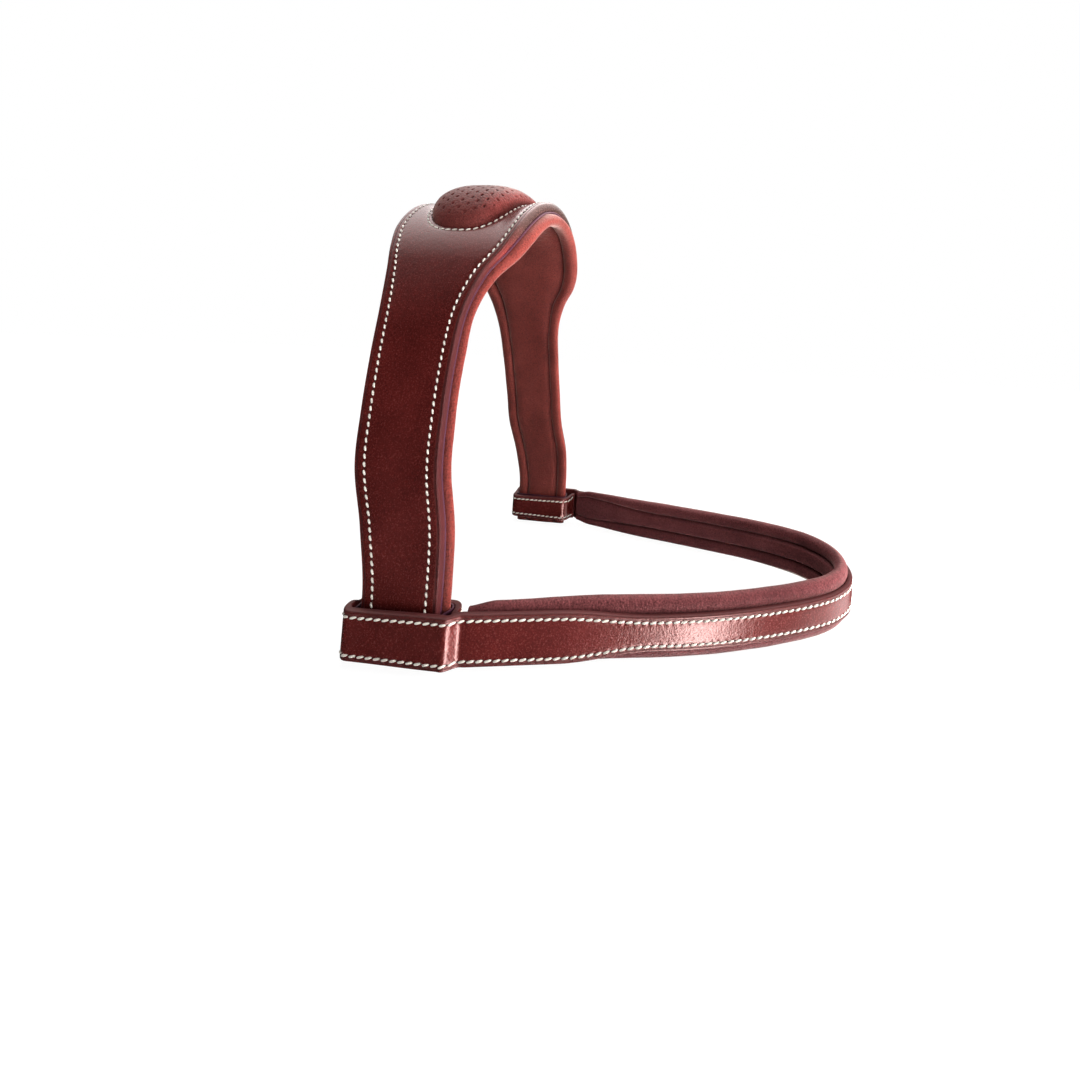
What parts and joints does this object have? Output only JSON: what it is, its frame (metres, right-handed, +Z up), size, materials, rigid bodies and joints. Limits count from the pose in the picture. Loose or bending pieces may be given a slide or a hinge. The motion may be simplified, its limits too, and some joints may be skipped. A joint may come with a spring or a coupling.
{
  "type": "bridle headpiece with browband",
  "caption": "Padded leather crown strap that arches over a horse's poll, with an oval poll pad, and a bowed padded browband whose end loops slide on the strap.",
  "frame": {"origin": "under the middle of the part, on the surface that the strap ends and the browband stand on", "axes": "+Z up towards the horse's poll, -Y forward to its nose, +X to its left"},
  "size_m": [0.1262, 0.2122, 0.1894],
  "materials": {
    "outer_leather": "smooth bridle leather, deep burgundy, softly polished",
    "edge_leather": "dyed and burnished, dark purple",
    "lining_leather": "soft napped lining leather, red-brown",
    "pad_leather": "soft perforated leather, matte",
    "foam": "open foam",
    "filler_cord": "soft twisted filler"
  },
  "bodies": {
    "crown": {"crown_leather": "outer_leather", "crown_backer": "edge_leather", "crown_core_pad": "foam", "crown_front_cord": "filler_cord", "crown_back_cord": "filler_cord", "crown_lining": "lining_leather", "poll_pad_cover": "pad_leather", "poll_pad_foam": "foam"},
    "browband": {"browband_leather": "outer_leather", "loop_lining_left": "edge_leather", "loop_lining_right": "edge_leather", "browband_lining": "lining_leather", "browband_core": "foam", "browband_upper_cord": "filler_cord", "browband_lower_cord": "filler_cord"}
  },
  "joints": [
    {"name": "browband_slide", "type": "slide", "parent": "crown", "child": "browband", "axis": [0, 0, 1], "range_m": [-0.016, 0.004]}
  ]
}
